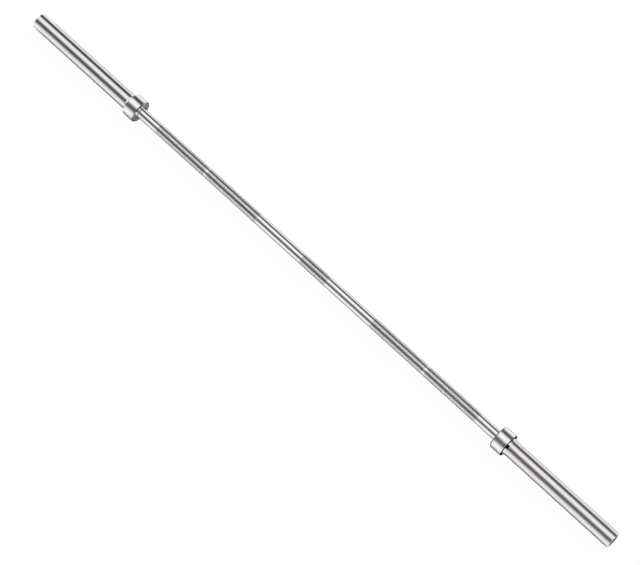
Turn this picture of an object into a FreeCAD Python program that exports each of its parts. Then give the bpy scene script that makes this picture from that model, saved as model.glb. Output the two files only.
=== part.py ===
"""Olympic barbell: a steel shaft with a turning sleeve at each end.

Millimetres. The origin is on the bar's axis, halfway along it, +X runs along the bar and +Z is up.
A sleeve piece is drawn with +X pointing out along its sleeve, and the left one is turned half round.
"""

import FreeCAD, Part
import os
import Sketcher

SIZES = {
    # Whole bar
    "overall_length": 2130,
    "collar_spacing": 1325,
    # Shaft
    "grip_diameter": 30,
    "shoulder_chamfer": 0.5,
    "knurl_depth": 0.2,
    "centre_knurl_length": 95,
    "grip_knurl_gap": 424,
    "smooth_beside_collar": 69.5,
    "ring_mark_spacing": 810,
    "ring_mark_width": 6,
    "ring_mark_depth": 0.5,
    "shoulder_height": 2.5,
    "journal_chamfer": 1,
    "shaft_tail": 4,
    # Collar
    "collar_height": 9.5,
    "collar_width": 38.6,
    "collar_inner_chamfer": 3,
    "collar_outer_chamfer": 1.5,
    "collar_floor": 2,
    # Lock ring that keeps the tube in the collar
    "lock_ring_width": 6.5,
    "lock_ring_height": 2.2,
    "lock_ring_lip": 1,
    "lock_ring_gap": 12,
    "lock_foot_width": 3,
    "lock_foot_depth": 1,
    "lock_foot_setback": 0.1,
    "lock_foot_clearance": 0.05,
    # Sleeve tube
    "sleeve_diameter": 48,
    "bore_step": 1.25,
    "mouth_wall": 4,
    "sleeve_end_round": 1.2,
    "sleeve_mouth_chamfer": 0.8,
    # Inner thrust ring
    "thrust_flange_height": 2,
    "thrust_flange_width": 3,
    "thrust_recess": 1.5,
    "thrust_nose_wall": 3.2,
    "thrust_nose_taper": 0.9,
    "thrust_stand_out": 0.5,
    "thrust_chamfer": 0.4,
    "thrust_clearance": 0.3,
    "end_float": 0.6,
    # Dust seal in the back of the thrust ring
    "seal_height": 2.5,
    "seal_width": 2.4,
    "seal_clearance": 0.15,
    # Bushings
    "bushing_wall": 3.7,
    "bushing_length": 40,
    "bushing_chamfer": 0.6,
    "running_clearance": 0.05,
    # Outer thrust washer
    "washer_height": 4.9,
    "washer_thickness": 2.5,
    "washer_side_gap": 0.3,
    "washer_clearance": 0.1,
    "chamber_clearance": 0.5,
    # Snap ring on the shaft
    "snap_groove_depth": 0.55,
    "snap_groove_width": 1.3,
    "snap_thickness": 1.2,
    "snap_height": 2.6,
    "snap_taper": 0.5,
    "snap_gap": 3,
    "snap_ear_radius": 2.5,
    "snap_ear_rise": 2.3,
    "snap_ear_spread": 7.2,
    "snap_ear_hole": 2,
    # End cap and its snap ring
    "cap_thickness": 4,
    "cap_chamfer": 0.8,
    "cap_rim_width": 6.5,
    "cap_dish_depth": 1,
    "cap_dish_slope": 2,
    "cap_clearance": 6,
    "end_rim": 3,
    "cap_groove_depth": 1.25,
    "cap_groove_width": 1.85,
    "cap_ring_thickness": 1.75,
    "cap_ring_height": 3.3,
    "cap_ring_taper": 0.7,
    "cap_ring_gap": 5,
    "cap_ear_radius": 2.9,
    "cap_ear_rise": 4.2,
    "cap_ear_spread": 8.6,
    "cap_ear_hole": 2.5,
}

# Angles round the bar, in degrees from straight up, at which the gaps of a side's sprung rings rest
SNAP_GAP_ANGLE = {"left": 15, "right": -40}
LOCK_GAP_ANGLE = {"left": 160, "right": 24}

doc = FreeCAD.newDocument("Barbell")
sheet = doc.addObject("Spreadsheet::Sheet", "Sizes")
for row, (alias, number) in enumerate(SIZES.items(), 1):
    sheet.set(f"A{row}", alias)
    sheet.set(f"B{row}", str(number))
    sheet.setAlias(f"B{row}", alias)
doc.recompute()


def half(alias):
    return f"(Sizes.{alias} / 2)"


# Places along a sleeve, measured out from the inner face of its collar
COLLAR_FACE = half("collar_spacing")
SLEEVE_LENGTH = "((Sizes.overall_length - Sizes.collar_spacing) / 2)"
THRUST_SEAT = "(Sizes.thrust_recess + Sizes.thrust_flange_width)"
TUBE_START = f"({THRUST_SEAT} + Sizes.collar_floor)"
INNER_BUSHING_END = f"({TUBE_START} + Sizes.bushing_length)"
LOCK_FOOT_END = "(Sizes.lock_ring_width - Sizes.lock_foot_setback)"
LOCK_FOOT_START = f"({LOCK_FOOT_END} - Sizes.lock_foot_width)"
LOCK_GROOVE_START = f"(Sizes.collar_width + {LOCK_FOOT_START} - Sizes.lock_foot_clearance)"
LOCK_GROOVE_END = f"(Sizes.collar_width + {LOCK_FOOT_END} + Sizes.lock_foot_clearance)"
SEAL_START = f"({THRUST_SEAT} - Sizes.seal_width)"
CAP_GROOVE_END = f"({SLEEVE_LENGTH} - Sizes.end_rim)"
CAP_GROOVE_START = f"({CAP_GROOVE_END} - Sizes.cap_groove_width)"
CAP_SEAT = f"({CAP_GROOVE_START} - Sizes.cap_thickness)"
SHAFT_END = f"({CAP_SEAT} - Sizes.cap_clearance)"
SNAP_GROOVE_END = f"({SHAFT_END} - Sizes.shaft_tail)"
SNAP_GROOVE_START = f"({SNAP_GROOVE_END} - Sizes.snap_groove_width)"
SNAP_START = f"({SNAP_GROOVE_START} + (Sizes.snap_groove_width - Sizes.snap_thickness) / 2)"
WASHER_START = f"({SNAP_START} - Sizes.washer_side_gap - Sizes.washer_thickness)"
OUTER_BUSHING_END = f"({WASHER_START} - Sizes.washer_side_gap)"
OUTER_BUSHING_START = f"({OUTER_BUSHING_END} - Sizes.bushing_length)"

# Places along the shaft, measured from the middle of the bar
SHOULDER = f"({COLLAR_FACE} - Sizes.thrust_stand_out - Sizes.end_float)"
GRIP_KNURL_END = f"({COLLAR_FACE} - Sizes.smooth_beside_collar)"
RING_MARK_START = f"({half('ring_mark_spacing')} - {half('ring_mark_width')})"
RING_MARK_END = f"({half('ring_mark_spacing')} + {half('ring_mark_width')})"

# Radii
GRIP = half("grip_diameter")
JOURNAL = f"({GRIP} - Sizes.shoulder_height)"
SLEEVE = half("sleeve_diameter")
COLLAR_RIM = f"({SLEEVE} + Sizes.collar_height)"
LOCK_FOOT = f"({SLEEVE} - Sizes.lock_foot_depth)"
THRUST_HOLE = f"({JOURNAL} + Sizes.thrust_clearance)"
THRUST_NOSE = f"({THRUST_HOLE} + Sizes.thrust_nose_wall)"
THRUST_RIM = f"({THRUST_NOSE} + Sizes.thrust_flange_height)"
BUSHING_HOLE = f"({JOURNAL} + Sizes.running_clearance)"
BUSHING_SEAT = f"({BUSHING_HOLE} + Sizes.bushing_wall)"
BORE = f"({BUSHING_SEAT} - Sizes.bore_step)"
WASHER_HOLE = f"({JOURNAL} + Sizes.washer_clearance)"
WASHER_RIM = f"({WASHER_HOLE} + Sizes.washer_height)"
SEAL_HOLE = f"({JOURNAL} + Sizes.seal_clearance)"
SEAL_SEAT = f"({SEAL_HOLE} + Sizes.seal_height)"
SNAP_SEAT = f"({JOURNAL} - Sizes.snap_groove_depth)"
SNAP_EAR_UP = f"({SNAP_SEAT} + Sizes.snap_ear_rise)"
SNAP_EAR_REACH = f"(hypot({half('snap_ear_spread')}; {SNAP_EAR_UP}) + Sizes.snap_ear_radius)"
CHAMBER = f"(max({WASHER_RIM}; {SNAP_EAR_REACH}) + Sizes.chamber_clearance)"
MOUTH = f"({SLEEVE} - Sizes.mouth_wall)"
CAP_RING_SEAT = f"({MOUTH} + Sizes.cap_groove_depth)"


def value(expression):
    return float(sheet.evalExpression(expression))


def new_body(label):
    body = doc.addObject("PartDesign::Body", label)
    body.Label = label
    return body


def new_sketch(body, plane_role, name):
    plane = next(item for item in body.Origin.OriginFeatures if item.Role == plane_role)
    sketch = body.newObject("Sketcher::SketchObject", name)
    sketch.AttachmentSupport = [(plane, "")]
    sketch.MapMode = "FlatFace"
    return sketch


def constrain(sketch, expression, kind, *places):
    """Adds a dimension to the sketch and binds it to the sheet."""
    index = sketch.addConstraint(Sketcher.Constraint(kind, *places, value(expression)))
    sketch.setExpression(f"Constraints[{index}]", expression)


def place_point(sketch, geometry, point, across, up):
    """Sets a point from the sketch's origin, or on an axis where the distance is 0."""
    for kind, expression, axis in (("DistanceX", across, -2), ("DistanceY", up, -1)):
        if expression == "0":
            sketch.addConstraint(Sketcher.Constraint("PointOnObject", geometry, point, axis))
        else:
            constrain(sketch, expression, kind, -1, 1, geometry, point)


def draw_profile(sketch, corners):
    """Draws a closed outline through (along, radius) corners."""
    points = [FreeCAD.Vector(value(along), value(radius), 0) for along, radius in corners]
    count = len(points)
    for i in range(count):
        sketch.addGeometry(Part.LineSegment(points[i], points[(i + 1) % count]))
    for i in range(count):
        sketch.addConstraint(Sketcher.Constraint("Coincident", i, 2, (i + 1) % count, 1))
    place_point(sketch, 0, 1, *corners[0])
    for i in range(1, count):
        along, radius = corners[i]
        same_along, same_radius = along == corners[i - 1][0], radius == corners[i - 1][1]
        if same_along:
            sketch.addConstraint(Sketcher.Constraint("Vertical", i - 1))
            constrain_one(sketch, i, "DistanceY", radius, -1)
        elif same_radius:
            sketch.addConstraint(Sketcher.Constraint("Horizontal", i - 1))
            constrain_one(sketch, i, "DistanceX", along, -2)
        else:
            place_point(sketch, i, 1, along, radius)


def constrain_one(sketch, geometry, kind, expression, axis):
    """Sets one distance of a line's first point from the sketch's origin."""
    if expression == "0":
        sketch.addConstraint(Sketcher.Constraint("PointOnObject", geometry, 1, axis))
    else:
        constrain(sketch, expression, kind, -1, 1, geometry, 1)


def draw_circle(sketch, radius, across="0", up="0"):
    centre = FreeCAD.Vector(value(across), value(up), 0)
    circle = sketch.addGeometry(Part.Circle(centre, FreeCAD.Vector(0, 0, 1), value(radius)))
    place_point(sketch, circle, 3, across, up)
    constrain(sketch, radius, "Radius", circle)
    return circle


def draw_circle_pair(sketch, radius, across, up):
    """Draws two like circles, one each side of the sketch's upright axis."""
    first = draw_circle(sketch, radius, across, up)
    centre = FreeCAD.Vector(-value(across), value(up), 0)
    second = sketch.addGeometry(Part.Circle(centre, FreeCAD.Vector(0, 0, 1), value(radius)))
    sketch.addConstraint(Sketcher.Constraint("Equal", first, second))
    sketch.addConstraint(Sketcher.Constraint("Symmetric", first, 3, second, 3, -2))


def draw_gap(sketch, width, low, high):
    """Draws an upright rectangle, centred on the sketch's upright axis."""
    x, y0, y1 = value(width) / 2, value(low), value(high)
    corners = [FreeCAD.Vector(*xy, 0) for xy in ((-x, y0), (x, y0), (x, y1), (-x, y1))]
    lines = [
        sketch.addGeometry(Part.LineSegment(corners[i], corners[(i + 1) % 4])) for i in range(4)
    ]
    for i in range(4):
        sketch.addConstraint(Sketcher.Constraint("Coincident", lines[i], 2, lines[(i + 1) % 4], 1))
    for i in (1, 3):
        sketch.addConstraint(Sketcher.Constraint("Vertical", lines[i]))
    sketch.addConstraint(Sketcher.Constraint("Symmetric", lines[0], 1, lines[0], 2, -2))
    sketch.addConstraint(Sketcher.Constraint("Horizontal", lines[2]))
    constrain(sketch, width, "DistanceX", lines[0], 1, lines[0], 2)
    constrain(sketch, low, "DistanceY", -1, 1, lines[0], 1)
    constrain(sketch, high, "DistanceY", -1, 1, lines[2], 1)


def turn(body, kind, name, corners):
    """Adds a Revolution, or cuts a Groove, of a profile round the bar's axis."""
    sketch = new_sketch(body, "XZ_Plane", name + "Profile")
    draw_profile(sketch, corners)
    feature = body.newObject("PartDesign::" + kind, name)
    feature.Profile = sketch
    feature.ReferenceAxis = (sketch, ["H_Axis"])
    feature.Angle = 360
    doc.recompute()
    return feature


def turn_band(body, name, start, end, floor, outside):
    """Cuts a plain groove from start to end along the axis, down or out to floor."""
    corners = [(start, floor), (end, floor), (end, outside), (start, outside)]
    return turn(body, "Groove", name, corners)


def pad(body, sketch, name, length):
    feature = body.newObject("PartDesign::Pad", name)
    feature.Profile = sketch
    feature.setExpression("Length", length)
    doc.recompute()
    return feature


def cut_through(body, sketch, name):
    feature = body.newObject("PartDesign::Pocket", name)
    feature.Profile = sketch
    feature.Type = "ThroughAll"
    feature.Midplane = True
    doc.recompute()
    return feature


def soften(body, kind, name, base, rims, size):
    """Adds a Fillet or Chamfer on the circular edges of base at (along, radius) rims."""
    wanted = [(value(along), value(radius)) for along, radius in rims]
    edges = []
    for number, edge in enumerate(base.Shape.Edges, 1):
        if isinstance(edge.Curve, Part.Circle):
            here = edge.Curve.Center.x, edge.Curve.Radius
            if any(abs(here[0] - x) < 1e-4 and abs(here[1] - r) < 1e-4 for x, r in wanted):
                edges.append(f"Edge{number}")
    feature = body.newObject("PartDesign::" + kind, name)
    feature.Base = (base, edges)
    feature.setExpression("Radius" if kind == "Fillet" else "Size", f"Sizes.{size}")
    doc.recompute()
    return feature


def put_on(body, side, start="0", gap_angle=0):
    """Places a sleeve piece: start is where it begins, measured out from the collar's inner face."""
    roll = FreeCAD.Rotation(FreeCAD.Vector(1, 0, 0), gap_angle)
    facing = FreeCAD.Rotation(FreeCAD.Vector(0, 0, 1), 180 if side == "left" else 0)
    body.Placement = FreeCAD.Placement(FreeCAD.Vector(0, 0, 0), facing * roll)
    sign = "-" if side == "left" else ""
    body.setExpression("Placement.Base.x", f"{sign}({COLLAR_FACE} + {start})")


def make_shaft():
    """One bar: knurled bands and ring marks on the grip, and a journal in each sleeve."""
    body = new_body("shaft")
    end = f"({COLLAR_FACE} + {SHAFT_END})"
    tip = f"({end} - Sizes.journal_chamfer)"
    blank = turn(body, "Revolution", "Blank", [
        ("0", "0"),
        ("0", GRIP),
        (f"({SHOULDER} - Sizes.shoulder_chamfer)", GRIP),
        (SHOULDER, f"({GRIP} - Sizes.shoulder_chamfer)"),
        (SHOULDER, JOURNAL),
        (tip, JOURNAL),
        (end, f"({JOURNAL} - Sizes.journal_chamfer)"),
        (end, "0"),
    ])
    knurl = f"({GRIP} - Sizes.knurl_depth)"
    mark = f"({GRIP} - Sizes.ring_mark_depth)"
    outside = "Sizes.grip_diameter"
    snap_start = f"({COLLAR_FACE} + {SNAP_GROOVE_START})"
    snap_end = f"({COLLAR_FACE} + {SNAP_GROOVE_END})"
    cuts = [
        turn_band(body, "CentreKnurl", "0", half("centre_knurl_length"), knurl, outside),
        turn_band(body, "GripKnurl", half("grip_knurl_gap"), GRIP_KNURL_END, knurl, outside),
        turn_band(body, "RingMark", RING_MARK_START, RING_MARK_END, mark, outside),
        turn_band(body, "SnapGroove", snap_start, snap_end, SNAP_SEAT, outside),
    ]
    mirrored = body.newObject("PartDesign::Mirrored", "OtherHalf")
    mirrored.Originals = [blank, *cuts]
    middle = next(item for item in body.Origin.OriginFeatures if item.Role == "YZ_Plane")
    mirrored.MirrorPlane = (middle, [""])
    body.Tip = mirrored
    return body


def make_sleeve_tube(side):
    """The tube that carries the plates, bored for its bushings and grooved for its rings."""
    body = new_body(side + "_sleeve_tube")
    tube = turn(body, "Revolution", "Tube", [
        (TUBE_START, BUSHING_SEAT),
        (TUBE_START, SLEEVE),
        (SLEEVE_LENGTH, SLEEVE),
        (SLEEVE_LENGTH, MOUTH),
        (CAP_SEAT, MOUTH),
        (CAP_SEAT, CHAMBER),
        (OUTER_BUSHING_END, CHAMBER),
        (OUTER_BUSHING_END, BUSHING_SEAT),
        (OUTER_BUSHING_START, BUSHING_SEAT),
        (OUTER_BUSHING_START, BORE),
        (INNER_BUSHING_END, BORE),
        (INNER_BUSHING_END, BUSHING_SEAT),
    ])
    rounded = soften(body, "Fillet", "EndRound", tube, [(SLEEVE_LENGTH, SLEEVE)], "sleeve_end_round")
    soften(body, "Chamfer", "Mouth", rounded, [(SLEEVE_LENGTH, MOUTH)], "sleeve_mouth_chamfer")
    turn_band(body, "CapGroove", CAP_GROOVE_START, CAP_GROOVE_END, CAP_RING_SEAT, BORE)
    turn_band(body, "LockGroove", LOCK_GROOVE_START, LOCK_GROOVE_END, LOCK_FOOT, "Sizes.sleeve_diameter")
    put_on(body, side)
    return body


def make_collar(side):
    """The thick cup over the tube's end that stops the plates and bears on the thrust ring."""
    body = new_body(side + "_collar")
    ring = turn(body, "Revolution", "Ring", [
        ("0", THRUST_RIM),
        ("0", COLLAR_RIM),
        ("Sizes.collar_width", COLLAR_RIM),
        ("Sizes.collar_width", SLEEVE),
        (TUBE_START, SLEEVE),
        (TUBE_START, THRUST_HOLE),
        (THRUST_SEAT, THRUST_HOLE),
        (THRUST_SEAT, THRUST_RIM),
    ])
    inner = soften(body, "Chamfer", "InnerEdge", ring, [("0", COLLAR_RIM)], "collar_inner_chamfer")
    soften(body, "Chamfer", "OuterEdge", inner, [("Sizes.collar_width", COLLAR_RIM)], "collar_outer_chamfer")
    put_on(body, side)
    return body


def make_lock_ring(side):
    """A split ring beside the collar, coned outside, with a foot in a groove of the tube."""
    body = new_body(side + "_lock_ring")
    turn(body, "Revolution", "Ring", [
        ("0", SLEEVE),
        ("0", f"({SLEEVE} + Sizes.lock_ring_height)"),
        ("Sizes.lock_ring_width", f"({SLEEVE} + Sizes.lock_ring_lip)"),
        ("Sizes.lock_ring_width", SLEEVE),
        (LOCK_FOOT_END, SLEEVE),
        (LOCK_FOOT_END, LOCK_FOOT),
        (LOCK_FOOT_START, LOCK_FOOT),
        (LOCK_FOOT_START, SLEEVE),
    ])
    sketch = new_sketch(body, "YZ_Plane", "GapSketch")
    draw_gap(sketch, "Sizes.lock_ring_gap", half("lock_ring_gap"), "Sizes.sleeve_diameter")
    cut_through(body, sketch, "Gap")
    put_on(body, side, "Sizes.collar_width", LOCK_GAP_ANGLE[side])
    return body


def make_thrust_ring(side):
    """A steel ring in the collar's inner face, whose nose stands out and meets the shaft's shoulder."""
    body = new_body(side + "_inner_thrust_ring")
    shelf = "(Sizes.thrust_stand_out + Sizes.thrust_recess)"
    back = "(Sizes.thrust_stand_out + Sizes.thrust_recess + Sizes.thrust_flange_width)"
    seal_floor = f"({back} - Sizes.seal_width)"
    turn(body, "Revolution", "Ring", [
        ("0", THRUST_HOLE),
        ("0", f"({THRUST_NOSE} - Sizes.thrust_chamfer)"),
        ("Sizes.thrust_chamfer", THRUST_NOSE),
        (shelf, f"({THRUST_NOSE} + Sizes.thrust_nose_taper)"),
        (shelf, THRUST_RIM),
        (back, THRUST_RIM),
        (back, SEAL_SEAT),
        (seal_floor, SEAL_SEAT),
        (seal_floor, THRUST_HOLE),
    ])
    put_on(body, side, "(-Sizes.thrust_stand_out)")
    return body


def make_dust_seal(side):
    """A rubber ring in the back of the thrust ring, which wipes the journal."""
    body = new_body(side + "_dust_seal")
    sketch = new_sketch(body, "YZ_Plane", "SealSketch")
    draw_circle(sketch, SEAL_SEAT)
    draw_circle(sketch, SEAL_HOLE)
    pad(body, sketch, "Seal", "Sizes.seal_width")
    put_on(body, side, SEAL_START)
    return body


def make_bushing(side, where, start):
    """A plain bronze bushing, pressed into the tube, in which the shaft's journal runs."""
    body = new_body(f"{side}_{where}_bushing")
    lead = f"({BUSHING_SEAT} - Sizes.bushing_chamfer)"
    turn(body, "Revolution", "Bush", [
        ("0", BUSHING_HOLE),
        ("0", lead),
        ("Sizes.bushing_chamfer", BUSHING_SEAT),
        ("(Sizes.bushing_length - Sizes.bushing_chamfer)", BUSHING_SEAT),
        ("Sizes.bushing_length", lead),
        ("Sizes.bushing_length", BUSHING_HOLE),
    ])
    put_on(body, side, start)
    return body


def make_washer(side):
    """A loose washer between the outer bushing and the snap ring."""
    body = new_body(side + "_outer_thrust_washer")
    sketch = new_sketch(body, "YZ_Plane", "WasherSketch")
    draw_circle(sketch, WASHER_RIM)
    draw_circle(sketch, WASHER_HOLE)
    pad(body, sketch, "Washer", "Sizes.washer_thickness")
    put_on(body, side, WASHER_START)
    return body


def make_shaft_snap_ring(side):
    """A sprung ring in the shaft's groove, thin at its ears and thick opposite them."""
    body = new_body(side + "_shaft_snap_ring")
    sketch = new_sketch(body, "YZ_Plane", "RingSketch")
    draw_circle(sketch, SNAP_SEAT)
    draw_circle(sketch, f"({SNAP_SEAT} + Sizes.snap_height)", up="(-Sizes.snap_taper)")
    pad(body, sketch, "Ring", "Sizes.snap_thickness")
    across = half("snap_ear_spread")
    ears = new_sketch(body, "YZ_Plane", "EarSketch")
    draw_circle_pair(ears, "Sizes.snap_ear_radius", across, SNAP_EAR_UP)
    pad(body, ears, "Ears", "Sizes.snap_thickness")
    holes = new_sketch(body, "YZ_Plane", "HoleSketch")
    draw_circle_pair(holes, half("snap_ear_hole"), across, SNAP_EAR_UP)
    draw_gap(holes, "Sizes.snap_gap", across, "Sizes.grip_diameter")
    cut_through(body, holes, "HolesAndGap")
    put_on(body, side, SNAP_START, SNAP_GAP_ANGLE[side])
    return body


def make_end_cap(side):
    """The disc that closes the sleeve, dished on its outer face."""
    body = new_body(side + "_end_cap")
    dish = f"({MOUTH} - Sizes.cap_rim_width)"
    floor = "(Sizes.cap_thickness - Sizes.cap_dish_depth)"
    turn(body, "Revolution", "Disc", [
        ("0", "0"),
        ("0", MOUTH),
        ("(Sizes.cap_thickness - Sizes.cap_chamfer)", MOUTH),
        ("Sizes.cap_thickness", f"({MOUTH} - Sizes.cap_chamfer)"),
        ("Sizes.cap_thickness", dish),
        (floor, f"({dish} - Sizes.cap_dish_slope)"),
        (floor, "0"),
    ])
    put_on(body, side, CAP_SEAT)
    return body


def make_end_cap_ring(side):
    """A sprung ring inside the sleeve's mouth, with its ears turned inwards."""
    body = new_body(side + "_end_cap_ring")
    sketch = new_sketch(body, "YZ_Plane", "RingSketch")
    draw_circle(sketch, CAP_RING_SEAT)
    draw_circle(sketch, f"({CAP_RING_SEAT} - Sizes.cap_ring_height)", up="Sizes.cap_ring_taper")
    pad(body, sketch, "Ring", "Sizes.cap_ring_thickness")
    across, up = half("cap_ear_spread"), f"({CAP_RING_SEAT} - Sizes.cap_ear_rise)"
    ears = new_sketch(body, "YZ_Plane", "EarSketch")
    draw_circle_pair(ears, "Sizes.cap_ear_radius", across, up)
    pad(body, ears, "Ears", "Sizes.cap_ring_thickness")
    holes = new_sketch(body, "YZ_Plane", "HoleSketch")
    draw_circle_pair(holes, half("cap_ear_hole"), across, up)
    draw_gap(holes, "Sizes.cap_ring_gap", across, "Sizes.sleeve_diameter")
    cut_through(body, holes, "HolesAndGap")
    put_on(body, side, CAP_GROOVE_START, SNAP_GAP_ANGLE[side])
    return body


bodies = [make_shaft()]
for side in ("left", "right"):
    bodies += [
        make_sleeve_tube(side),
        make_collar(side),
        make_lock_ring(side),
        make_thrust_ring(side),
        make_dust_seal(side),
        make_bushing(side, "inner", TUBE_START),
        make_bushing(side, "outer", OUTER_BUSHING_START),
        make_washer(side),
        make_shaft_snap_ring(side),
        make_end_cap(side),
        make_end_cap_ring(side),
    ]
doc.recompute()

for item in doc.Objects:
    if {"Invalid", "Error"} & set(item.State):
        raise RuntimeError(f"{item.Label} failed: {item.State}")
for body in bodies:
    if body.Shape.isNull() or not body.Shape.isValid() or len(body.Shape.Solids) != 1:
        raise RuntimeError(f"{body.Label} is not one valid solid")

os.makedirs("parts", exist_ok=True)
for body in bodies:
    body.Shape.exportStep(f"parts/{body.Label}.step")
    print(body.Label, round(body.Shape.Volume / 1000, 2), "cubic cm")
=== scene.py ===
"""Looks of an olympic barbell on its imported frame.

The scene is in metres and the profiles are in millimetres, as (along the bar, radius).
A sleeve's profiles are written for the right end, and the left end's are turned half round.
"""

import math

import bpy
import numpy as np
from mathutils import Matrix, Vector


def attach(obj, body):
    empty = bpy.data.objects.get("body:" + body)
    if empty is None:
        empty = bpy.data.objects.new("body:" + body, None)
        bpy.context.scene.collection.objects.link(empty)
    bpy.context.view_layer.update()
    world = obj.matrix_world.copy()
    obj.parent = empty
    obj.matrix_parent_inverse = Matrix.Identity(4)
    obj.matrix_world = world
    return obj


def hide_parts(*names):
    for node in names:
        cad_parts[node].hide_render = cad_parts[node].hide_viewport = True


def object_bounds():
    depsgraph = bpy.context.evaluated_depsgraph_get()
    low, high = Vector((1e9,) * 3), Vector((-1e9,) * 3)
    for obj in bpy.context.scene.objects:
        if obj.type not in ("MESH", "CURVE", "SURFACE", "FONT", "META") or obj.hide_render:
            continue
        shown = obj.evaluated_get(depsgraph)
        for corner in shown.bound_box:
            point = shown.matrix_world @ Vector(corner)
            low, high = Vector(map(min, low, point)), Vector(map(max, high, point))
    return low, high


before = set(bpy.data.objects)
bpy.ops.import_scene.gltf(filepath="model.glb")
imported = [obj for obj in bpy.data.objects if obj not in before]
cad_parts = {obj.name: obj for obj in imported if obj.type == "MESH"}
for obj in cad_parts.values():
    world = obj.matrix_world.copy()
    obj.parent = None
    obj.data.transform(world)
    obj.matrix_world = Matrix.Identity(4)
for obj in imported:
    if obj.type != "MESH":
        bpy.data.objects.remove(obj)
cad_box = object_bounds()

MM = 0.001
SIDES = {"left": -1, "right": 1}


# Materials

def blank_material(name):
    """A new material, its node tree and its shader."""
    material = bpy.data.materials.new(name)
    material.use_nodes = True
    tree = material.node_tree
    shader = next(n for n in tree.nodes if n.type == "BSDF_PRINCIPLED")
    return material, tree, shader


def math_node(tree, operation, first, second=None):
    node = tree.nodes.new("ShaderNodeMath")
    node.operation = operation
    for socket, item in zip(node.inputs, (first, second)):
        if item is None:
            continue
        if isinstance(item, (int, float)):
            socket.default_value = item
        else:
            tree.links.new(item, socket)
    return node.outputs[0]


def object_place(tree):
    return tree.nodes.new("ShaderNodeTexCoord").outputs["Object"]


def parts(tree, vector):
    """The three sockets of a vector's parts."""
    node = tree.nodes.new("ShaderNodeSeparateXYZ")
    tree.links.new(vector, node.inputs[0])
    return node.outputs


def along_and_out(tree, here):
    """A place's X plus its distance from the bar's axis, which grows along cylinders and across faces."""
    x, y, z = parts(tree, here)
    square = math_node(tree, "ADD", math_node(tree, "MULTIPLY", y, y), math_node(tree, "MULTIPLY", z, z))
    return math_node(tree, "ADD", x, math_node(tree, "SQRT", square))


def noise(tree, place_socket, scale, detail=2.0, one_way=False, roughness=0.5):
    node = tree.nodes.new("ShaderNodeTexNoise")
    node.noise_dimensions = "1D" if one_way else "3D"
    node.inputs["Scale"].default_value = scale
    node.inputs["Detail"].default_value = detail
    node.inputs["Roughness"].default_value = roughness
    tree.links.new(place_socket, node.inputs["W" if one_way else "Vector"])
    return node.outputs["Fac"]


def stretched(tree, place_socket, scale):
    node = tree.nodes.new("ShaderNodeMapping")
    node.inputs["Scale"].default_value = scale
    tree.links.new(place_socket, node.inputs["Vector"])
    return node.outputs[0]


def spread(tree, socket, low, high, to_low, to_high):
    """Maps a socket's range to another, held at both ends."""
    node = tree.nodes.new("ShaderNodeMapRange")
    for name, number in zip(("From Min", "From Max", "To Min", "To Max"), (low, high, to_low, to_high)):
        node.inputs[name].default_value = number
    tree.links.new(socket, node.inputs["Value"])
    return node.outputs[0]


def ramp(tree, socket, stops):
    node = tree.nodes.new("ShaderNodeValToRGB")
    elements = node.color_ramp.elements
    while len(elements) < len(stops):
        elements.new(0.5)
    for element, (position, colour) in zip(elements, stops):
        element.position = position
        element.color = (*colour, 1) if isinstance(colour, tuple) else (colour, colour, colour, 1)
    tree.links.new(socket, node.inputs["Fac"])
    return node.outputs["Color"]


def mix(tree, factor, first, second):
    """A colour between two, each a socket or a fixed colour."""
    node = tree.nodes.new("ShaderNodeMix")
    node.data_type = "RGBA"
    tree.links.new(factor, node.inputs["Factor"])
    for socket, item in ((node.inputs[6], first), (node.inputs[7], second)):
        if isinstance(item, tuple):
            socket.default_value = item
        else:
            tree.links.new(item, socket)
    return node.outputs[2]


def choose(tree, factor, first, second):
    """A shader between two."""
    node = tree.nodes.new("ShaderNodeMixShader")
    for socket, item in zip(node.inputs, (factor, first, second)):
        tree.links.new(item, socket)
    return node.outputs[0]


def bump(tree, height, strength, depth, under=None):
    """A normal from a height, with the depth in millimetres."""
    node = tree.nodes.new("ShaderNodeBump")
    node.inputs["Strength"].default_value = strength
    node.inputs["Distance"].default_value = depth * MM
    tree.links.new(height, node.inputs["Height"])
    if under is not None:
        tree.links.new(under, node.inputs["Normal"])
    return node.outputs[0]


# Scales are in cells per metre, and depths in millimetres
PATCH_SCALE = 38
FINE_SCALE = 900
FINE_SHARE = 0.25
PIT_SCALE = 1700
SCUFF_STRETCH = (9, 520, 520)
LINE_DEPTH = 0.004
SCUFF_DEPTH = -0.006
PIT_DEPTH = 0.02


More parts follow.
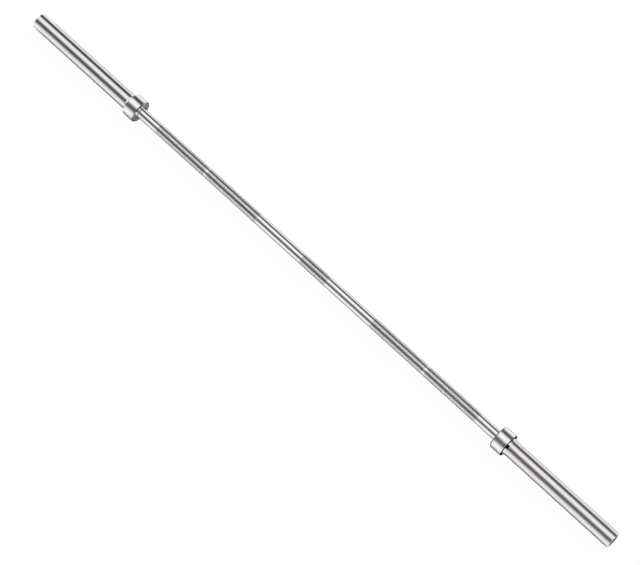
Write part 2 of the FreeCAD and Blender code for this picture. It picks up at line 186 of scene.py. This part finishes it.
def metal(name, colour, dull, bright, turning=0.0, pitch=0.25, scuffs=0.0, grain=0.0, stain=0.04,
          glancing=1.0):
    """A metal with turning lines round the axis, scuffs along it, grain, and patches of handling.

    Its roughness goes from dull to bright, its colour is darker by stain in patches, and glancing is
    its tint at a flat angle.
    """
    material, tree, shader = blank_material(name)
    here = object_place(tree)
    patches = noise(tree, here, PATCH_SCALE, 4, roughness=0.6)
    fine = noise(tree, here, FINE_SCALE, 2)
    both = math_node(tree, "ADD", math_node(tree, "MULTIPLY", patches, 1 - FINE_SHARE),
                     math_node(tree, "MULTIPLY", fine, FINE_SHARE))
    shader.inputs["Metallic"].default_value = 1.0
    shader.inputs["Specular Tint"].default_value = (glancing, glancing, glancing, 1)
    darker = tuple(c * (1 - stain) for c in colour)
    tree.links.new(ramp(tree, both, [(0.3, darker), (0.62, colour)]), shader.inputs["Base Color"])
    tree.links.new(spread(tree, both, 0.32, 0.68, dull, bright), shader.inputs["Roughness"])
    normal = None
    if turning:
        lines = noise(tree, along_and_out(tree, here), 1 / (pitch * MM), 2, one_way=True, roughness=0.65)
        normal = bump(tree, lines, turning, LINE_DEPTH)
    if scuffs:
        marks = noise(tree, stretched(tree, here, SCUFF_STRETCH), 1, 3, roughness=0.7)
        deep = spread(tree, marks, 0.6, 0.74, 0, 1)
        normal = bump(tree, deep, scuffs, SCUFF_DEPTH, normal)
    if grain:
        pits = noise(tree, here, PIT_SCALE, 3, roughness=0.65)
        normal = bump(tree, pits, grain, PIT_DEPTH, normal)
    if normal is not None:
        tree.links.new(normal, shader.inputs["Normal"])
    return material


BLOOM_SCALE = 220
SKIN_SCALE = 2600


def rubber(name):
    material, tree, shader = blank_material(name)
    here = object_place(tree)
    bloom = noise(tree, here, BLOOM_SCALE, 4, roughness=0.65)
    tree.links.new(ramp(tree, bloom, [(0.3, (0.016, 0.016, 0.017)), (0.7, (0.035, 0.035, 0.036))]),
                   shader.inputs["Base Color"])
    tree.links.new(spread(tree, bloom, 0.3, 0.7, 0.62, 0.8), shader.inputs["Roughness"])
    tree.links.new(bump(tree, noise(tree, here, SKIN_SCALE, 2), 0.3, PIT_DEPTH), shader.inputs["Normal"])
    return material


GRIP_CHROME = metal("grip_chrome", (0.97, 0.967, 0.963), 0.05, 0.025, turning=0.08, pitch=0.3, scuffs=0.05)
CREST_CHROME = metal("knurl_crest_chrome", (0.96, 0.952, 0.95), 0.2, 0.12, grain=0.1)
# Painted shade: the knurl's groove walls get a dark base colour that stands in for the shade inside the
# grooves
PAINTED_SHADE_GROOVE_CHROME = metal("knurl_groove_painted_shade_chrome", (0.36, 0.352, 0.35), 0.36, 0.24, grain=0.2, stain=0.12)
SLEEVE_CHROME = metal("sleeve_chrome", (0.875, 0.857, 0.853), 0.15, 0.09, turning=0.16, pitch=0.4,
                      scuffs=0.16)
COLLAR_CHROME = metal("collar_chrome", (0.96, 0.957, 0.95), 0.18, 0.12, turning=0.1, pitch=0.3, scuffs=0.05)
FACE_CHROME = metal("collar_face_chrome", (0.85, 0.842, 0.84), 0.1, 0.06, turning=0.2, pitch=0.5, stain=0.08)
# Painted shade: the collar's outer chamfer and outer face are near black, with a weak tint at a flat angle,
# standing in for the shade on the collar's outer side
PAINTED_SHADE_EDGE_CHROME = metal("collar_edge_painted_shade_chrome", (0.1, 0.098, 0.097), 0.24, 0.16, turning=0.2, pitch=0.4, stain=0.06,
                    glancing=0.12)
# Painted shade: the collar's inner chamfer gets a darker base colour that stands in for the shade along that
# edge
PAINTED_SHADE_BEVEL_CHROME = metal("collar_bevel_painted_shade_chrome", (0.34, 0.336, 0.334), 0.2, 0.13, turning=0.16, pitch=0.4,
                     stain=0.06, glancing=0.35)
LOCK_CHROME = metal("lock_ring_chrome", (0.92, 0.91, 0.905), 0.13, 0.07, turning=0.12, pitch=0.3)
THRUST_STEEL = metal("thrust_ring_steel", (0.95, 0.947, 0.94), 0.12, 0.07, turning=0.12, pitch=0.3)
JOURNAL_STEEL = metal("journal_steel", (0.62, 0.62, 0.61), 0.3, 0.2, turning=0.3, pitch=0.3, stain=0.1)
BORE_STEEL = metal("bore_steel", (0.34, 0.34, 0.335), 0.5, 0.36, turning=0.7, pitch=0.7, stain=0.15)
# Painted shade: near black steel on faces in gaps and recesses stands in for the shade there. These faces are
# the thrust ring's end face, the shaft's shoulder step, the collar's bore and recess floor, and the sleeve
# under the collar
PAINTED_SHADE_STEEL = metal("painted_shade_steel", (0.06, 0.057, 0.056), 0.55, 0.4, turning=0.4, pitch=0.6, stain=0.2)
CAP_STEEL = metal("cap_steel", (0.7, 0.7, 0.7), 0.3, 0.2, turning=0.6, pitch=0.45, stain=0.08)
WASHER_STEEL = metal("washer_steel", (0.6, 0.6, 0.59), 0.36, 0.24, turning=0.5, pitch=0.4, stain=0.12)
SPRING_STEEL = metal("spring_steel", (0.1, 0.1, 0.105), 0.42, 0.3, grain=0.3, stain=0.25)
BRONZE = metal("bushing_bronze", (0.58, 0.4, 0.2), 0.42, 0.28, turning=0.4, pitch=0.35, grain=0.25, stain=0.2)
SEAL_RUBBER = rubber("seal_rubber")


# Mesh tools

def add_piece(name, points, faces, finishes, materials, body, node):
    """Makes a mesh from points in millimetres, puts it on a body and hides the node it stands for."""
    mesh = bpy.data.meshes.new(name)
    mesh.from_pydata((np.asarray(points) * MM).tolist(), [], faces)
    for material in materials:
        mesh.materials.append(material)
    mesh.polygons.foreach_set("material_index", finishes)
    mesh.polygons.foreach_set("use_smooth", [True] * len(faces))
    mesh.update()
    piece = bpy.data.objects.new(name, mesh)
    bpy.context.scene.collection.objects.link(piece)
    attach(piece, body)
    if node:
        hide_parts(node)
    return piece


ARC_STEP = math.radians(14)
ROOM_SHARE = 0.45
LONG_RUN = 1.2
NEAR_END = 0.15


def eased(corners, closed):
    """Turns (along, radius, edge radius, finish) corners into points whose edges are small arcs.

    A finish belongs to the run after its corner. Long runs get a point near each end, so that
    their shading stays straight.
    """
    count = len(corners)
    out = []
    for i, (x, r, edge, finish) in enumerate(corners):
        corner = np.array((x, r), float)
        if edge == 0:
            out.append((corner, finish))
            continue
        back = np.array(corners[i - 1][:2], float) - corner
        on = np.array(corners[(i + 1) % count][:2], float) - corner
        room = ROOM_SHARE * min(np.linalg.norm(back), np.linalg.norm(on))
        back /= np.linalg.norm(back)
        on /= np.linalg.norm(on)
        bend = math.pi - math.acos(max(-1.0, min(1.0, float(back @ on))))
        reach = min(edge * math.tan(bend / 2), room)
        edge = reach / math.tan(bend / 2)
        middle = corner + (back + on) / np.linalg.norm(back + on) * edge / math.cos(bend / 2)
        first = corner + back * reach - middle
        last = corner + on * reach - middle
        steps = max(3, math.ceil(bend / ARC_STEP))
        for k in range(steps + 1):
            f = k / steps
            arm = (math.sin((1 - f) * bend) * first + math.sin(f * bend) * last) / math.sin(bend)
            out.append((middle + arm, corners[i - 1][3] if k < steps else finish))
    full = []
    for i, (point, finish) in enumerate(out):
        full.append((point, finish))
        if i + 1 == len(out) and not closed:
            break
        step = out[(i + 1) % len(out)][0] - point
        length = np.linalg.norm(step)
        if length > LONG_RUN:
            for near in (NEAR_END / length, 1 - NEAR_END / length):
                full.append((point + step * near, finish))
    return full


SHARP_ANGLE = math.radians(40)
ON_AXIS = 1e-6


def lathe(name, corners, materials, body, node, side="right", closed=True, turns=192, gap=None):
    """Turns a profile round the bar's axis, or, for a split ring, as far as its gap = (angle, width)."""
    outline = eased(corners, closed)
    flat = np.array([point for point, finish in outline])
    area = np.sum(flat[:, 0] * np.roll(flat[:, 1], -1) - np.roll(flat[:, 0], -1) * flat[:, 1])
    if area < 0:
        runs = [finish for point, finish in outline]
        runs = runs[-2::-1] + runs[-1:]
        outline = list(zip(flat[::-1], runs))
    points, faces, finishes, rings = [], [], [], []
    for point, finish in outline:
        x, r = point
        if r < ON_AXIS:
            rings.append([len(points)] * (turns + 1))
            points.append((x, 0.0, 0.0))
            continue
        start, sweep = 0.0, 2 * math.pi
        if gap:
            lack = math.asin(gap[1] / 2 / r)
            start = math.radians(gap[0]) + lack
            sweep = 2 * math.pi - 2 * lack
        count = turns + 1 if gap else turns
        rings.append([len(points) + k % count for k in range(turns + 1)])
        for k in range(count):
            angle = start + sweep * k / turns
            points.append((x, r * math.sin(angle), r * math.cos(angle)))
    pairs = list(zip(rings, rings[1:] + rings[:1]))
    if not closed:
        pairs = pairs[:-1]
    for (here, on), (point, finish) in zip(pairs, outline):
        for k in range(turns):
            corner_list = [here[k], here[k + 1], on[k + 1], on[k]]
            face = [v for j, v in enumerate(corner_list) if v != corner_list[j - 1]]
            if len(face) > 2:
                faces.append(face)
                finishes.append(finish)
    if gap:
        faces.append([ring[0] for ring in rings])
        faces.append([ring[turns] for ring in reversed(rings)])
        finishes += [0, 0]
    points = np.array(points)
    if side == "left":
        points[:, :2] *= -1
    piece = add_piece(name, points, faces, finishes, materials, body, node)
    piece.data.set_sharp_from_angle(angle=SHARP_ANGLE)
    return piece


STARTS = 52
HELIX = math.radians(30)
CREST_RADIUS = 15.0
GROOVE_DEPTH = 0.32
GROOVE_WIDTH = 0.3
CORE_RADIUS = 14.3
END_DROP = 0.02
OVERLAP = 0.05


def knurl(name, x0, x1):
    """A band of flat topped diamonds, left by two crossing sets of helical grooves.

    Finish 0 is a diamond's top, 1 a groove's wall, dark as painted shade, and 2 the smooth ends.
    """
    pitch = 2 * math.pi / STARTS
    wide = CREST_RADIUS * pitch
    rows = 2 * round((x1 - x0) / (wide / math.tan(HELIX)))
    step = (x1 - x0) / rows
    keep = 1 - GROOVE_WIDTH / (wide * math.cos(HELIX))
    points, faces, finishes = [], [], []

    def add(x, angle, r):
        points.append((x, r * math.sin(angle), r * math.cos(angle)))
        return len(points) - 1

    valley = []
    for m in range(rows + 1):
        r = CREST_RADIUS - (GROOVE_DEPTH if 0 < m < rows else END_DROP)
        valley.append([add(x0 + m * step, (m % 2 / 2 + j) * pitch, r) for j in range(STARTS)])
    for m in range(1, rows):
        odd = m % 2
        for j in range(STARTS):
            left = valley[m - 1][(j + odd) % STARTS]
            right = valley[m + 1][(j + odd) % STARTS]
            low = valley[m][j]
            high = valley[m][(j + 1) % STARTS]
            x = x0 + m * step
            angle = (odd / 2 + j + 0.5) * pitch
            top = [
                add(x - keep * step, angle, CREST_RADIUS),
                add(x, angle - keep * pitch / 2, CREST_RADIUS),
                add(x + keep * step, angle, CREST_RADIUS),
                add(x, angle + keep * pitch / 2, CREST_RADIUS),
            ]
            ring = [left, low, right, high]
            faces.append(top)
            finishes.append(0)
            for k in range(4):
                faces.append([ring[k], ring[(k + 1) % 4], top[(k + 1) % 4], top[k]])
                finishes.append(1)
    inside = [[add(x, j * pitch, CORE_RADIUS - OVERLAP) for j in range(STARTS)] for x in (x0, x1)]
    for j in range(STARTS):
        on = (j + 1) % STARTS
        faces.append([valley[0][j], valley[1][j], valley[0][on]])
        faces.append([valley[rows - 1][j], valley[rows][j], valley[rows][on]])
        faces.append([valley[0][j], valley[0][on], inside[0][on], inside[0][j]])
        faces.append([valley[rows][on], valley[rows][j], inside[1][j], inside[1][on]])
        faces.append([inside[0][j], inside[0][on], inside[1][on], inside[1][j]])
        finishes += [2] * 4 + [1]
    materials = [CREST_CHROME, PAINTED_SHADE_GROOVE_CHROME, GRIP_CHROME]
    piece = add_piece(name, points, faces, finishes, materials, "shaft", None)
    mesh = piece.data
    place_of = np.asarray(points)
    normals = []
    for polygon, face, finish in zip(mesh.polygons, faces, finishes):
        for corner in face:
            if finish == 0:
                p = place_of[corner]
                normals.append((0.0, p[1] / CREST_RADIUS, p[2] / CREST_RADIUS))
            else:
                normals.append(tuple(polygon.normal))
    mesh.normals_split_custom_set(normals)
    return piece


# Sizes that several profiles share

CENTRE_BAND_END = 47.5
INNER_BAND = (212, 402)
OUTER_BAND = (408, 593)
GRIP_RADIUS = 15
MARK_RADIUS = 14.5
JOURNAL_RADIUS = 12.5
SLEEVE_RADIUS = 24
BUSHING_RADIUS = 16.25
CLEAR_RADIUS = 12.8
RECESS_RADIUS = 18
RECESS_FLOOR = 667
TUBE_START = 669
COLLAR_END = 701.1
FOOT_RADIUS = 23
MOUTH_RADIUS = 20
CAP_SEAT = 1056.15
CAP_FACE = 1060.15


# Shaft, with (along, radius, edge radius, finish) corners as in all the profiles below

half_shaft = [
    (CENTRE_BAND_END, CORE_RADIUS, 0, 0),
    (CENTRE_BAND_END, GRIP_RADIUS, 0.1, 0),
    (INNER_BAND[0], GRIP_RADIUS, 0.1, 0),
    (INNER_BAND[0], CORE_RADIUS, 0, 0),
    (INNER_BAND[1], CORE_RADIUS, 0, 0),
    (INNER_BAND[1], MARK_RADIUS, 0, 0),
    (OUTER_BAND[0], MARK_RADIUS, 0, 0),
    (OUTER_BAND[0], CORE_RADIUS, 0, 0),
    (OUTER_BAND[1], CORE_RADIUS, 0, 0),
    (OUTER_BAND[1], GRIP_RADIUS, 0.1, 0),
    (660.9, GRIP_RADIUS, 0.2, 0),
    (661.4, 14.5, 0.15, 2),
    (661.4, JOURNAL_RADIUS, 0, 1),
    (1044.85, JOURNAL_RADIUS, 0, 1),
    (1044.85, 11.95, 0, 1),
    (1046.15, 11.95, 0, 1),
    (1046.15, JOURNAL_RADIUS, 0, 1),
    (1049.15, JOURNAL_RADIUS, 0.2, 1),
    (1050.15, 11.5, 0.2, 1),
    (1050.15, 0, 0, 1),
]
other_half = []
for i in range(len(half_shaft) - 1, -1, -1):
    x, r, edge, finish = half_shaft[i]
    other_half.append((-x, r, edge, half_shaft[i - 1][3] if i else 0))
shaft_finishes = [GRIP_CHROME, JOURNAL_STEEL, PAINTED_SHADE_STEEL]
lathe("shaft_bar", other_half + half_shaft, shaft_finishes, "shaft", "shaft", closed=False,
      turns=4 * STARTS)
knurl("centre_knurl", -CENTRE_BAND_END, CENTRE_BAND_END)
for side, sign in SIDES.items():
    for part, ends in (("inner", INNER_BAND), ("outer", OUTER_BAND)):
        knurl(f"{side}_grip_knurl_{part}", *sorted(sign * x for x in ends))


# Sleeves

LOCK_GAP_ANGLE = {"left": -160, "right": -24}
LOCK_GAP_WIDTH = 12
sleeve_finishes = [SLEEVE_CHROME, BORE_STEEL, PAINTED_SHADE_STEEL]
collar_finishes = [COLLAR_CHROME, FACE_CHROME, PAINTED_SHADE_STEEL, PAINTED_SHADE_EDGE_CHROME, PAINTED_SHADE_BEVEL_CHROME]
for side in SIDES:
    body = side + "_sleeve"
    lathe(side + "_sleeve_skin", [
        (TUBE_START, BUSHING_RADIUS, 0, 0),
        (TUBE_START, SLEEVE_RADIUS, 0.3, 2),
        (704.45, SLEEVE_RADIUS, 0, 2),
        (704.45, FOOT_RADIUS, 0, 2),
        (707.55, FOOT_RADIUS, 0, 2),
        (707.55, SLEEVE_RADIUS, 0.1, 0),
        (1065, SLEEVE_RADIUS, 1.2, 0),
        (1065, 20.8, 0.2, 0),
        (1064.2, MOUTH_RADIUS, 0.2, 0),
        (1062, MOUTH_RADIUS, 0, 1),
        (1062, 21.25, 0, 1),
        (CAP_FACE, 21.25, 0, 1),
        (CAP_FACE, MOUTH_RADIUS, 0, 1),
        (CAP_SEAT, MOUTH_RADIUS, 0, 1),
        (CAP_SEAT, 18, 0, 1),
        (1041.8, 18, 0, 1),
        (1041.8, BUSHING_RADIUS, 0, 1),
        (1001.8, BUSHING_RADIUS, 0, 1),
        (1001.8, 15, 0, 1),
        (709, 15, 0, 1),
        (709, BUSHING_RADIUS, 0, 1),
    ], sleeve_finishes, body, side + "_sleeve_tube", side)
    lathe(side + "_collar_drum", [
        (662.5, RECESS_RADIUS, 0.3, 1),
        (662.5, 30.5, 0.4, 4),
        (665.5, 33.5, 0.5, 0),
        (699.6, 33.5, 0.4, 3),
        (COLLAR_END, 32, 0.4, 3),
        (COLLAR_END, SLEEVE_RADIUS, 0.2, 2),
        (TUBE_START, SLEEVE_RADIUS, 0, 2),
        (TUBE_START, CLEAR_RADIUS, 0, 2),
        (RECESS_FLOOR, CLEAR_RADIUS, 0, 2),
        (RECESS_FLOOR, RECESS_RADIUS, 0, 2),
    ], collar_finishes, body, side + "_collar", side)
    lathe(side + "_split_lock_ring", [
        (COLLAR_END, SLEEVE_RADIUS, 0, 0),
        (COLLAR_END, 26.2, 0.25, 0),
        (707.6, 25, 0.4, 0),
        (707.6, SLEEVE_RADIUS, 0, 0),
        (707.5, SLEEVE_RADIUS, 0, 0),
        (707.5, FOOT_RADIUS, 0, 0),
        (704.5, FOOT_RADIUS, 0, 0),
        (704.5, SLEEVE_RADIUS, 0, 0),
    ], [LOCK_CHROME], body, side + "_lock_ring", side,
       gap=(LOCK_GAP_ANGLE[side], LOCK_GAP_WIDTH))
    lathe(side + "_thrust_ring", [
        (662, CLEAR_RADIUS, 0, 1),
        (662, 15.6, 0.15, 0),
        (662.4, 16, 0.15, 0),
        (664, 16.9, 0, 1),
        (664, RECESS_RADIUS, 0, 1),
        (RECESS_FLOOR, RECESS_RADIUS, 0, 1),
        (RECESS_FLOOR, 15.15, 0, 1),
        (664.6, 15.15, 0, 1),
        (664.6, CLEAR_RADIUS, 0, 1),
    ], [THRUST_STEEL, PAINTED_SHADE_STEEL], body, side + "_inner_thrust_ring", side)
    lathe(side + "_dished_cap", [
        (CAP_SEAT, 0, 0, 0),
        (CAP_SEAT, MOUTH_RADIUS, 0, 0),
        (1059.35, MOUTH_RADIUS, 0.2, 0),
        (CAP_FACE, 19.2, 0.2, 0),
        (CAP_FACE, 13.5, 0.5, 0),
        (1059.15, 11.5, 0.6, 0),
        (1059.15, 0, 0, 0),
    ], [CAP_STEEL], body, side + "_end_cap", side, closed=False)


# Inner nodes that keep their solids

for side in SIDES:
    for name, material in (
        ("dust_seal", SEAL_RUBBER),
        ("inner_bushing", BRONZE),
        ("outer_bushing", BRONZE),
        ("outer_thrust_washer", WASHER_STEEL),
        ("shaft_snap_ring", SPRING_STEEL),
        ("end_cap_ring", SPRING_STEEL),
    ):
        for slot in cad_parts[f"{side}_{name}"].material_slots:
            slot.material = material


# Floor

scene = bpy.context.scene
scene.view_settings.view_transform = "Standard"

FLOOR_REACH = 40.0
FLOOR_GAP = 0.0002
floor_mesh = bpy.data.meshes.new("floor")
floor_corners = [(x * FLOOR_REACH, y * FLOOR_REACH, 0) for x, y in ((-1, -1), (1, -1), (1, 1), (-1, 1))]
floor_mesh.from_pydata(floor_corners, [], [(0, 1, 2, 3)])
floor = bpy.data.objects.new("floor", floor_mesh)
floor.location.z = cad_box[0].z - FLOOR_GAP
scene.collection.objects.link(floor)


def grey(level):
    return (level, level, level, 1)


def diffuse(tree, colour):
    node = tree.nodes.new("ShaderNodeBsdfDiffuse")
    if isinstance(colour, tuple):
        node.inputs["Color"].default_value = colour
    else:
        tree.links.new(colour, node.inputs["Color"])
    return node.outputs[0]


def glowing(tree, glow, lit):
    """A white floor, part its own glow and part lit, so that it keeps a share of the shadow."""
    emission = tree.nodes.new("ShaderNodeEmission")
    emission.inputs["Color"].default_value = grey(1)
    emission.inputs["Strength"].default_value = glow
    both = tree.nodes.new("ShaderNodeAddShader")
    tree.links.new(emission.outputs[0], both.inputs[0])
    tree.links.new(diffuse(tree, grey(lit)), both.inputs[1])
    return both.outputs[0]


def by_ray(tree, straight, mirrored, other):
    """A shader for rays that see it straight or through glass, for mirrored rays, and for all others."""
    rays = tree.nodes.new("ShaderNodeLightPath").outputs
    seen = math_node(tree, "MAXIMUM", rays["Is Camera Ray"], rays["Is Transmission Ray"])
    return choose(tree, seen, choose(tree, rays["Is Glossy Ray"], other, mirrored), straight)


PALE = 0.97
FLOOR_GLOW = 0.965
FLOOR_LIT = 0.05
FLOOR_BOUNCE = 0.85
PAINTED_SHADOW_HALF_WIDTH = 0.2
PAINTED_SHADOW_END = (1.045, 1.066)
floor_material = bpy.data.materials.new("pale_floor")
floor_material.use_nodes = True
tree = floor_material.node_tree
tree.nodes.clear()
output = tree.nodes.new("ShaderNodeOutputMaterial")
x, y = parts(tree, object_place(tree))[:2]
# Painted shadow: mirrored rays see the floor darker in a strip along the bar, darkest close beside it, and
# pale again past the bar's ends
under = spread(tree, y, -PAINTED_SHADOW_HALF_WIDTH, PAINTED_SHADOW_HALF_WIDTH, 0.0, 1.0)
deep = ramp(tree, under, [
    (0.175, PALE), (0.39, 0.62), (0.45, 0.5), (0.5, 0.38), (0.58, 0.25), (0.65, 0.26), (0.825, PALE),
])
beyond = spread(tree, math_node(tree, "ABSOLUTE", x), *PAINTED_SHADOW_END, 0.0, 1.0)
painted_shadow = mix(tree, beyond, deep, grey(PALE))
surface = by_ray(tree, glowing(tree, FLOOR_GLOW, FLOOR_LIT), diffuse(tree, painted_shadow),
                 diffuse(tree, grey(FLOOR_BOUNCE)))
tree.links.new(surface, output.inputs["Surface"])
floor_mesh.materials.append(floor_material)


# Light

RED_SHIFT = 0.007
BLUE_SHIFT = -0.002
AMBIENT = 0.2
KEY_STRENGTH = 3.28
KEY_SOFTNESS = 45
KEY_TILT = -40
KEY_TURN = -12


def by_angle(stops):
    """Ramp stops from degrees off straight up, towards +Y, and levels that are slightly warm where dark."""
    out = []
    for angle, level in stops:
        dark = 1 - level
        out.append(((angle + 180) / 360, (level + RED_SHIFT * dark, level, level + BLUE_SHIFT * dark)))
    return out


def by_lean(stops):
    """Ramp stops from the part of a direction that points along +X."""
    return [((lean_part + 1) / 2, level) for lean_part, level in stops]


def sky(tree, strength, colour=None):
    node = tree.nodes.new("ShaderNodeBackground")
    node.inputs["Color"].default_value = grey(1)
    node.inputs["Strength"].default_value = strength
    if colour is not None:
        tree.links.new(colour, node.inputs["Color"])
    return node.outputs[0]


world = bpy.data.worlds.new("studio")
scene.world = world
world.use_nodes = True
tree = world.node_tree
tree.nodes.clear()
output = tree.nodes.new("ShaderNodeOutputWorld")
direction = tree.nodes.new("ShaderNodeTexCoord").outputs["Generated"]
lengthwise, sideways, upward = parts(tree, direction)
turned = math_node(tree, "ARCTAN2", sideways, upward)
across = spread(tree, turned, -math.pi, math.pi, 0.0, 1.0)
lean = spread(tree, lengthwise, -1.0, 1.0, 0.0, 1.0)
middle_bands = ramp(tree, across, by_angle([
    (-95, 0.96), (-88, 0.95), (-80, 0.85), (-74, 0.7), (-68, 0.54), (-62, 0.37), (-56, 0.2), (-50, 0.11),
    (-44, 0.09), (-36, 0.08), (-30, 0.11), (-24, 0.23), (-18, 0.42), (-12, 0.67), (-6, 0.88), (0, 0.98),
    (8, 1.0), (18, 0.98), (24, 0.87), (30, 0.66), (36, 0.42), (42, 0.18), (48, 0.04), (54, 0.01), (60, 0.03),
    (66, 0.12), (72, 0.28), (80, 0.55), (88, 0.8), (95, 0.9),
]))
left_bands = ramp(tree, across, by_angle([
    (-95, 0.9), (-84, 0.5), (-74, 0.2), (-66, 0.24), (-56, 0.75), (-42, 1.0), (40, 1.0), (50, 0.6), (59, 0.2),
    (72, 0.14), (84, 0.5), (95, 0.9),
]))
right_bands = ramp(tree, across, by_angle([
    (-95, 0.95), (-82, 0.8), (-70, 0.4), (-58, 0.08), (-14, 0.05), (0, 0.2), (10, 0.28), (20, 0.2),
    (32, 0.05), (56, 0.05), (68, 0.35), (82, 0.8), (95, 0.95),
]))
# Which bands a mirrored ray meets depends on how far it leans along the bar
share = ramp(tree, lean, by_lean([(-0.34, 1.0), (-0.1, 0.94), (0.3, 0.92)]))
to_middle = ramp(tree, lean, by_lean([(-0.96, 0.0), (-0.9, 1.0), (-0.77, 0.0), (-0.62, 0.0), (-0.46, 1.0)]))
to_right = ramp(tree, lean, by_lean([(0.6, 0.0), (0.8, 1.0), (0.95, 1.0), (0.99, 0.0)]))
shaded = mix(tree, share, grey(1), middle_bands)
shaded = mix(tree, to_middle, left_bands, shaded)
shaded = mix(tree, to_right, shaded, right_bands)
surroundings = by_ray(tree, sky(tree, 1.0), sky(tree, 1.0, shaded), sky(tree, AMBIENT))
tree.links.new(surroundings, output.inputs["Surface"])

lamp = bpy.data.lights.new("soft_key", "SUN")
lamp.energy = KEY_STRENGTH
lamp.angle = math.radians(KEY_SOFTNESS)
key = bpy.data.objects.new("soft_key", lamp)
key.rotation_euler = (math.radians(KEY_TILT), 0, math.radians(KEY_TURN))
key.visible_glossy = False
scene.collection.objects.link(key)


# Camera

PICTURE_WIDTH = 640
FOCAL_PIXELS = 2603.29
SENSOR = 36.0
LOOK_DOWN = 68.4583
LOOK_ROUND = 44.2909
CAMERA_PLACE = (1.8038, -1.8304, 6.4229)
FARTHEST_SEEN = 200
lens = bpy.data.cameras.new("camera")
lens.sensor_fit = "HORIZONTAL"
lens.sensor_width = SENSOR
lens.lens = FOCAL_PIXELS / PICTURE_WIDTH * SENSOR
lens.clip_end = FARTHEST_SEEN
camera = bpy.data.objects.new("camera", lens)
camera.location = CAMERA_PLACE
camera.rotation_euler = (math.radians(90 - LOOK_DOWN), 0, math.radians(LOOK_ROUND))
scene.collection.objects.link(camera)
scene.camera = camera
